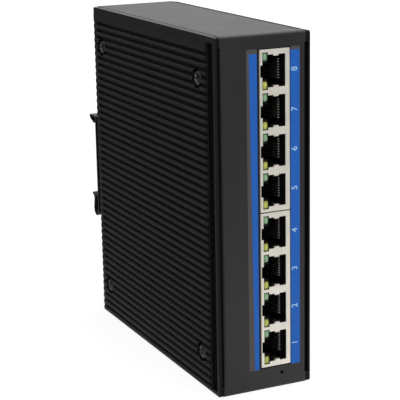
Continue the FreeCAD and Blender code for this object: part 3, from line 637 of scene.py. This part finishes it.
def pan_head(s, height, length):
    """A pan-head screw turned about its axis, as local (u, v, w), w outwards: an elliptic dome over a short rim,
    a flat seat, a plain shank and its end. Inside a cross the dome sinks by the recess depth, with steep walls."""
    radius, rim = s.head / MM / 2, 0.4 * height
    turn = np.radians(np.linspace(90, 0, 22))[1:]
    r = np.concatenate([[POLE], radius * np.cos(turn),
                        [radius, SHANK_RADIUS, SHANK_RADIUS, SHANK_RADIUS - SHANK_BEVEL, POLE]])
    w = np.concatenate([[height], rim + (height - rim) * np.sin(turn),
                        [0, 0, SHANK_BEVEL - length, -length, -length]])[:, None]
    round_axis = np.linspace(0, 2 * math.pi, 64, endpoint=False)
    u, v = r[:, None] * np.cos(round_axis), r[:, None] * np.sin(round_axis)
    half, arm = s.recess_width / MM / 2, s.recess_span / MM / 2

    def bar(p, q):
        """1 within one bar of the cross and 0 outside it."""
        return np.clip((half - np.abs(p)) / RECESS_EDGE + 0.5, 0, 1) * np.clip((arm - np.abs(q)) / RECESS_EDGE, 0, 1)

    sink = np.where(w > rim * 0.9, np.maximum(bar(u, v), bar(v, u)) * s.recess_depth / MM, 0)
    return tube(np.stack([u, v, w - sink], -1))


def set_screws(name, node, spots, seat, axis, sizes, material, slot):
    """Copies of one pan head at spots, seated on a plane across X or Y and facing along the signed axis. Each
    copy is turned about its own axis by another angle t: (u cos t - v sin t, u sin t + v cos t)."""
    verts, faces = pan_head(bpy.context.scene.switch_screws, *sizes)
    u, v, w = verts.T
    parts = []
    for n, (a, b) in enumerate(spots):
        turn = math.radians(FIRST_TURN + NEXT_TURN * n)
        first = a + u * math.cos(turn) - v * math.sin(turn)
        second = b + u * math.sin(turn) + v * math.cos(turn)
        out = seat + axis[1] * w
        parts.append((np.stack([out, first, second] if axis[0] == "x" else [first, out, second], 1), faces))
    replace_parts(piece(name, *joined(parts), material, slot, sharp=40), node)


class SWITCH_OT_screws(bpy.types.Operator):
    """Build the cross-recessed screws of the side plates and the rail clip"""
    bl_idname = "switch.screws"
    bl_label = "Screws"

    def execute(self, context):
        dark = rolled_metal("black_zinc", (0.06, 0.06, 0.063), 0.24, (1, 1, 1), 0.9)
        bright = rolled_metal("bright_zinc", (0.62, 0.62, 0.6), 0.3, (1, 1, 1))
        seat = CREST - context.scene.switch_plates.fin_height / MM
        for side, out in SIDES.items():
            set_screws("pan_heads_" + side, "side_screws_" + side, side_spots(side), out * seat, ("x", out),
                       SIDE_SCREW, dark, "screw_steel")
        low, high = span("clip_screws")
        head = context.scene.switch_screws.head / MM / 2
        spots = [(x, (low[2] + high[2]) / 2) for x in (low[0] + head, high[0] - head)]
        set_screws("clip_pan_heads", "clip_screws", spots, high[1] - CLIP_SEAT, ("y", 1), CLIP_SCREW, bright,
                   "bright_steel")
        dress(bright, "clinch_nuts", "clip_nuts", "board_standoffs", "terminal_pins")
        return {"FINISHED"}


# ------------------------------------------------------------------ case
class SWITCH_OT_case(bpy.types.Operator):
    """Paint the folded chassis and the rear panel"""
    bl_idname = "switch.case"
    bl_label = "Folded case"

    def execute(self, context):
        dress(case_coat("case_paint"), "front_chassis", "rear_panel")
        return {"FINISHED"}


# ------------------------------------------------------------------ jacks
CONTACTS = 8
CONTACT_PITCH = 1.02
CONTACT_THICK = 0.3
CONTACT_INSET = (0.16, 0.2, 0.35)    # from the wires' middles to their node's box: at the wall, the front, across
LAMPS = {                # node: slot, painted lit colour of the middle, painted shaded colour of the rim
    "lamps_green": ("lamp_green", (0.36, 0.58, 0.36), (0.03, 0.11, 0.03)),
    "lamps_yellow": ("lamp_yellow", (0.68, 0.74, 0.16), (0.12, 0.12, 0.006)),
}


def port_centres(j):
    """Heights of all ports' middles, from the two shields' boxes."""
    offsets = (np.arange(j.ports) - (j.ports - 1) / 2) * j.pitch / MM
    boxes = [span("jack_shield_" + level) for level in ("lower", "upper")]
    return np.concatenate([(low[2] + high[2]) / 2 + offsets for low, high in boxes])


def lamp_window(half_x, half_z, front, back, crown, centre):
    """A lamp window: a superellipse of power 2.5 in section that rises to a cylindrical crown at the front, highest
    along its upright middle. Also gives each point's share of the painted highlight: 1 along the middle, 0 at the rim
    and on the sides."""
    turn = np.linspace(0, 2 * math.pi, 48, endpoint=False)
    c, s = np.cos(turn), np.sin(turn)
    scale = np.array([1, 1, 0.985, 0.94, 0.86, 0.74, 0.6, 0.45, 0.3, 0.15, 0.02])[:, None]
    across, up = scale * np.sign(c) * np.abs(c) ** 0.8, scale * np.sign(s) * np.abs(s) ** 0.8
    dome = np.sqrt(np.clip(1 - across ** 2, 0, 1)) * np.clip(1 - up ** 4, 0, 1)
    y = front + crown * (1 - dome)
    y[0], y[1], y[2] = back, front + crown, front + crown * (1 - 0.3 * dome[2])
    highlight_share = (1 - across ** 2) * (1 - np.abs(up) ** 2.5)
    highlight_share[:2] = 0
    return tube(np.stack([centre[0] + half_x * across, y, centre[1] + half_z * up], -1)), highlight_share.ravel()


def set_lamps(node, slot, lit_core_colour, shaded_rim_colour, ports, crown):
    """The windows of one colour, one a port, in the box of their node."""
    low, high = span(node)
    half_x, half_z = (high[0] - low[0]) / 2, (high[2] - low[2] - (ports[-1] - ports[0])) / 2
    middle = (low[0] + high[0]) / 2
    windows = [lamp_window(half_x, half_z, low[1], high[1], crown, (middle, low[2] + half_z + z - ports[0]))
               for z in ports]
    verts, faces = joined([shape for shape, highlight_share in windows])
    plastic = milky_plastic("milky_" + node, lit_core_colour, shaded_rim_colour)
    thing = piece("milky_" + node, verts, faces, plastic, slot, sharp=50)
    mark(thing, "highlight_share", np.concatenate([highlight_share for shape, highlight_share in windows]))
    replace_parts(thing, node)


def contact_path(wall, front, back, reach, bend):
    """One contact wire in plan: forward along the wall, round a bend, then a slanting run into the cavity."""
    slant = math.degrees(math.atan2(reach - 2 * bend, back - front - bend))
    hook = arc((wall - bend, front + bend), bend, 0, -180 - slant, 9)
    return np.concatenate([[(wall, back - 1.5), (wall, (front + back) / 2)], hook, [(wall - reach, back)]])


def swept_wire(path, width, thick, centre):
    """A flat wire: a rectangle carried along a plan path, its sides square to the run at each point."""
    ahead = np.gradient(path, axis=0)
    ahead /= np.linalg.norm(ahead, axis=1)[:, None]
    side = np.stack([-ahead[:, 1], ahead[:, 0]], 1) * thick / 2
    grid = np.empty((len(path), 4, 3))
    grid[:, :, :2] = path[:, None] + side[:, None] * np.array([1, 1, -1, -1])[:, None]
    grid[:, :, 2] = centre + width / 2 * np.array([1, -1, -1, 1])
    return tube(grid)


def set_contacts(j, ports):
    """The contact wires of all ports, sprung from the wall that the contacts' node has."""
    low, high = span("jack_contacts_lower")
    wall, front, across = CONTACT_INSET
    path = contact_path(high[0] - wall, low[1] + front, high[1], high[0] - low[0] - across, j.contact_bend / MM)
    heights = np.add.outer(ports, (np.arange(CONTACTS) - (CONTACTS - 1) / 2) * CONTACT_PITCH).ravel()
    verts, faces = joined([swept_wire(path, j.wire / MM, CONTACT_THICK, z) for z in heights])
    gold = rolled_metal("contact_gold", (0.9, 0.87, 0.8), 0.35, (1, 1, 1))
    wires = piece("spring_contacts", verts, faces, gold, "contact_metal", sharp=30)
    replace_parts(wires, "jack_contacts_lower", "jack_contacts_upper")


class SWITCH_OT_jacks(bpy.types.Operator):
    """Dress the jacks' shields and bodies, and build their lamps and contacts"""
    bl_idname = "switch.jacks"
    bl_label = "Jacks"

    def execute(self, context):
        j = context.scene.switch_jacks
        low, high = span("jack_shield_lower")
        # The shields' plating gets painted shade behind their front face and a painted dark reflection along their
        # left edge.
        metal = rolled_metal("jack_plating", (0.9, 0.86, 0.77), 0.4, (1, 1, 0.12), 0.7,
                             face=(low[1] + 0.35) * MM, edge=low[0] * MM)
        dress(metal, "jack_shield_lower", "jack_shield_upper")
        dress(moulded("jack_black", (0.0035, 0.0035, 0.0035), 0.6, 0.12), "jack_body_lower", "jack_body_upper")
        ports = port_centres(j)
        for node, finish in LAMPS.items():
            set_lamps(node, *finish, ports, j.lamp_crown / MM)
        set_contacts(j, ports)
        return {"FINISHED"}


# ------------------------------------------------------------------ strips
FILM_CORNER = 0.45       # round of a film's corners
FILM_BEVEL = 0.05
FILM_SETBACK = 0.012     # a film's face lies this far behind its node's
LEFT_FILM = (0.3, 0.45)  # the left film goes past its node's box by this much, at its outer and inner edge
RIGHT_FILM = (0.25, 0.45)     # the right film goes past its node's inner edge, and stops short of the outer one
LEFT_BORDER = (2.25, 1.5)     # width of the left film's grey border at the foot, and how much it narrows upwards
RIGHT_BORDER = 0.15
GAP_SHADOW_WIDTH = 0.85        # width of the painted shadow at the left film's edge by the jacks
LEFT_END, RIGHT_END = 1.8, 1.3    # heights of the films' grey ends at the top
NUMBER_SIZE = 3.6
NUMBER_THICK = 0.008
NUMBER_BOLD = 0.03       # a number's strokes are widened by this on each side
NUMBER_SETBACK = 0.008   # a number's middle lies this far behind the front of the strip's node
NUMBER_PLACE = (-0.3, 0.1)    # of a number, from the middle of the film and the port


def film(low, high):
    """A thin film sheet: a rectangle with quarter-round corners, carried through its thickness with a small
    bevel at the front."""
    radius = FILM_CORNER
    x0, x1, z0, z1 = low[0], high[0], low[2], high[2]
    corners = [((x1 - radius, z0 + radius), -90), ((x1 - radius, z1 - radius), 0),
               ((x0 + radius, z1 - radius), 90), ((x0 + radius, z0 + radius), 180)]
    outline = np.concatenate([arc(middle, radius, start, start + 90, 7) for middle, start in corners])
    inwards = -np.sign(outline - outline.mean(0))
    inset = np.array([0, 0, FILM_BEVEL])[:, None, None] * inwards
    grid = np.empty((3, len(outline), 3))
    grid[:, :, ::2] = outline + inset
    grid[:, :, 1] = np.array([high[1], low[1] + (high[1] - low[1]) * 0.3, low[1]])[:, None]
    return tube(grid)


def number_mesh(word, x, y, z):
    """A numeral as thin solid letters, turned to read upwards: its right is +Z and its top is -X."""
    curve = bpy.data.curves.new("numeral", "FONT")
    curve.body, curve.size = word, NUMBER_SIZE * MM
    curve.align_x, curve.align_y = "CENTER", "CENTER"
    curve.extrude = NUMBER_THICK / 2 * MM
    curve.offset = NUMBER_BOLD * MM
    thing = new_object("numeral", curve)
    mesh = evaluated_mesh(thing)
    points = read(mesh.vertices, "co", 3) / MM
    faces = [tuple(p.vertices) for p in mesh.polygons]
    bpy.data.objects.remove(thing)
    bpy.data.meshes.remove(mesh)
    return np.stack([x - points[:, 1], y - points[:, 2], z + points[:, 0]], 1), faces


def set_film(side, low, high, ink):
    """Put a film in place of one side's strip, from its lowest to its highest corner."""
    verts, faces = film(low + (0, FILM_SETBACK, 0), high)
    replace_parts(piece("film_" + side, verts, faces, ink, "strip_blue", sharp=25), "port_strip_" + side)


class SWITCH_OT_strips(bpy.types.Operator):
    """Build the printed strips beside the ports, with plain port numbers"""
    bl_idname = "switch.strips"
    bl_label = "Port strips"

    def execute(self, context):
        f = context.scene.switch_finish
        blue, grey = tuple(f.strip_colour), tuple(f.border_colour)
        low, high = span("port_strip_left")
        wide, narrows = LEFT_BORDER
        slant = -narrows / (high[2] - low[2])
        border = ((low[0] + wide - slant * low[2]) * MM, slant, -1)
        low, high = low - (LEFT_FILM[0], 0, 0), high + (LEFT_FILM[1], 0, 0)
        set_film("left", low, high, printed_film("strip_ink_left", blue, grey, border, (high[2] - LEFT_END) * MM,
                                                 (high[0] - GAP_SHADOW_WIDTH) * MM))
        low, high = span("port_strip_right")
        low, high = low - (RIGHT_FILM[0], 0, 0), high - (RIGHT_FILM[1], 0, 0)
        border = ((high[0] - RIGHT_BORDER) * MM, 0.0, 1)
        set_film("right", low, high, printed_film("strip_ink_right", blue, grey, border,
                                                  (high[2] - RIGHT_END) * MM))
        across, up = NUMBER_PLACE
        numbers = [number_mesh(str(n + 1), (low[0] + high[0]) / 2 + across, low[1] + NUMBER_SETBACK, z + up)
                   for n, z in enumerate(port_centres(context.scene.switch_jacks))]
        paint = moulded("number_ink", tuple(f.number_colour), 0.5, 0.3, 0.1 * MM, 0.001 * MM)
        piece("port_numbers", *joined(numbers), paint, "strip_blue", sharp=25)
        return {"FINISHED"}


# ------------------------------------------------------------------ the rest
class SWITCH_OT_fittings(bpy.types.Operator):
    """Finish the rail clip, the power terminal, the power lamp and the board with its parts"""
    bl_idname = "switch.fittings"
    bl_label = "Fittings"

    def execute(self, context):
        dress(rolled_metal("clip_steel", (0.05, 0.052, 0.048), 0.36, (0.1, 1, 1), 0.85), "rail_clip",
              "clip_backing_plate")
        # The power lamp's guide is coloured near black with no specular, as painted shade deep in its hole.
        dress(moulded("lamp_guide_painted_shade", (0.0005, 0.0005, 0.0005), 0.6, 0.0), "power_lamp")
        dress(moulded("terminal_green", (0.02, 0.19, 0.06), 0.45), "terminal_header")
        dress(moulded("solder_resist", (0.01, 0.12, 0.04), 0.3), "main_board")
        dress(moulded("chip_black", (0.02, 0.02, 0.02), 0.55), "switch_chip", "network_transformers")
        dress(rolled_metal("sink_aluminium", (0.6, 0.6, 0.62), 0.4, (1, 1, 0.1)), "chip_heat_sink")
        dress(rolled_metal("can_aluminium", (0.65, 0.65, 0.67), 0.3, (0.1, 1, 1)), "filter_capacitors")
        dress(moulded("ferrite", (0.05, 0.05, 0.055), 0.6), "power_inductor")
        return {"FINISHED"}


# ------------------------------------------------------------------ stage
FLOOR_HALF = 6.0                             # metres, as all of this section's lengths
LIGHT_TARGET = (0, 0, 0.07)
CAMERA_PLACE = (-0.24083, -0.52486, 0.20968)
CAMERA_TURN = (75.744, 1.069, -25.274)       # degrees about X, Y and Z


def soft_light(name, power, size, place):
    """A square soft light aimed at the object's middle."""
    lamp = bpy.data.lights.new(name, "AREA")
    lamp.shape, lamp.size, lamp.energy = "SQUARE", size, power
    thing = new_object(name, lamp)
    thing.location = place
    thing.rotation_euler = (Vector(LIGHT_TARGET) - Vector(place)).to_track_quat("-Z", "Y").to_euler()


class StageTree(Tree):
    """Nodes for the floor or the world, which look different to the camera, to reflections and to the light that
    falls on the object."""
    blend = "SMOOTHSTEP"

    def light(self, kind, strength):
        """A white background or emission shader whose strength is a number or a socket."""
        node = self.add(kind)
        self.feed(node.inputs["Color"], (1, 1, 1))
        self.feed(node.inputs["Strength"], strength)
        return node.outputs[0]

    def matt(self, tone):
        """A matt grey shader."""
        node = self.add("ShaderNodeBsdfDiffuse")
        self.feed(node.inputs["Color"], (tone, tone, tone))
        return node.outputs[0]

    def both(self, first, second):
        """The sum of two shaders."""
        node = self.add("ShaderNodeAddShader")
        self.feed(node.inputs[0], first)
        self.feed(node.inputs[1], second)
        return node.outputs[0]

    def either(self, factor, first, second):
        """The first shader where the factor is 0, and the second where it is 1."""
        node = self.add("ShaderNodeMixShader")
        for socket, value in zip(node.inputs, (factor, first, second)):
            self.feed(socket, value)
        return node.outputs[0]

    def finish(self, lit, mirrored, seen):
        """Show one shader to the camera, one to glossy and transmission rays, and one to all other rays."""
        rays = self.add("ShaderNodeLightPath").outputs
        bounced = self.math("MAXIMUM", rays["Is Glossy Ray"], rays["Is Transmission Ray"])
        surface = self.either(rays["Is Camera Ray"], self.either(bounced, lit, mirrored), seen)
        self.feed(self.out.inputs["Surface"], surface)


def stage_floor():
    """A wide pale floor that keeps the object's shadow, and further out is as white as the background."""
    size = FLOOR_HALF
    mesh = bpy.data.meshes.new("floor")
    mesh.from_pydata([(-size, -size, 0), (size, -size, 0), (size, size, 0), (-size, size, 0)], [], [(0, 1, 2, 3)])
    material = bpy.data.materials.new("pale_floor")
    mesh.materials.append(material)
    n = StageTree(material, "ShaderNodeOutputMaterial")
    place = n.add("ShaderNodeTexCoord").outputs["Object"]
    length = n.add("ShaderNodeVectorMath", operation="LENGTH")
    n.feed(length.inputs[0], place)
    away = length.outputs["Value"]
    seen = n.both(n.light("ShaderNodeEmission", n.ramp(away, 0.15, 0.7, 0.8, 1.0)), n.matt(0.35))
    glow = n.math("MULTIPLY", n.ramp(away, 0.08, 0.5, 1.0, 0.45),
                  n.ramp(n.axis(place, "X"), -0.07, 0.03, 0.3, 0.85))
    mirrored = n.both(n.light("ShaderNodeEmission", glow), n.matt(0.1))
    n.finish(n.matt(0.8), mirrored, seen)
    new_object("floor", mesh)


def stage_world(ambient):
    """Soft light from all round and a white background. Reflections find it nearly white, but for a dark
    flag low at the object's left."""
    world = bpy.data.worlds.new("studio")
    bpy.context.scene.world = world
    n = StageTree(world, "ShaderNodeOutputWorld")
    sky = n.add("ShaderNodeTexCoord").outputs["Generated"]
    flag = n.math("MAXIMUM", n.ramp(n.axis(sky, "X"), -0.45, 0.0, 0.05, 0.82),
                  n.ramp(n.axis(sky, "Z"), 0.2, 0.5, 0.05, 0.82))
    n.finish(*(n.light("ShaderNodeBackground", strength) for strength in (ambient, flag, 1.0)))


class SWITCH_OT_stage(bpy.types.Operator):
    """Set up the floor, the lights, the world and the camera"""
    bl_idname = "switch.stage"
    bl_label = "Stage"

    def execute(self, context):
        s = context.scene.switch_stage
        stage_floor()
        stage_world(s.ambient)
        soft_light("top_light", s.top_power, 0.9, (0.05, -0.15, 0.95))
        soft_light("front_light", s.front_power, 0.7, (-0.55, -0.75, 0.45))
        lens = bpy.data.cameras.new("camera")
        lens.lens, lens.sensor_width = s.lens, 36.0
        camera = new_object("camera", lens)
        camera.location = CAMERA_PLACE
        camera.rotation_euler = [math.radians(a) for a in CAMERA_TURN]
        context.scene.camera = camera
        context.scene.view_settings.view_transform = "Standard"
        return {"FINISHED"}


# ------------------------------------------------------------------ panel and registration
STEPS = ("case", "side_plates", "screws", "jacks", "strips", "fittings", "stage")
GROUPS = {
    "switch_plates": PlateSettings,
    "switch_finish": FinishSettings,
    "switch_jacks": JackSettings,
    "switch_screws": ScrewSettings,
    "switch_stage": StageSettings,
}


class SWITCH_PT_looks(bpy.types.Panel):
    """Lists the steps and their settings"""
    bl_label = "Rail switch"
    bl_space_type = "VIEW_3D"
    bl_region_type = "UI"
    bl_category = "Rail switch"

    def draw(self, context):
        for step in STEPS:
            self.layout.operator("switch." + step)
        for group in GROUPS:
            box = self.layout.box()
            settings = getattr(context.scene, group)
            for name in settings.__class__.__annotations__:
                box.prop(settings, name)


CLASSES = (*GROUPS.values(), SWITCH_OT_case, SWITCH_OT_side_plates, SWITCH_OT_screws, SWITCH_OT_jacks,
           SWITCH_OT_strips, SWITCH_OT_fittings, SWITCH_OT_stage, SWITCH_PT_looks)


def register():
    for item in CLASSES:
        bpy.utils.register_class(item)
    for name, group in GROUPS.items():
        setattr(bpy.types.Scene, name, bpy.props.PointerProperty(type=group))


def unregister():
    for name in GROUPS:
        delattr(bpy.types.Scene, name)
    for item in reversed(CLASSES):
        bpy.utils.unregister_class(item)


def main():
    register()
    for step in STEPS:
        getattr(bpy.ops.switch, step)()


if __name__ == "__main__":
    main()
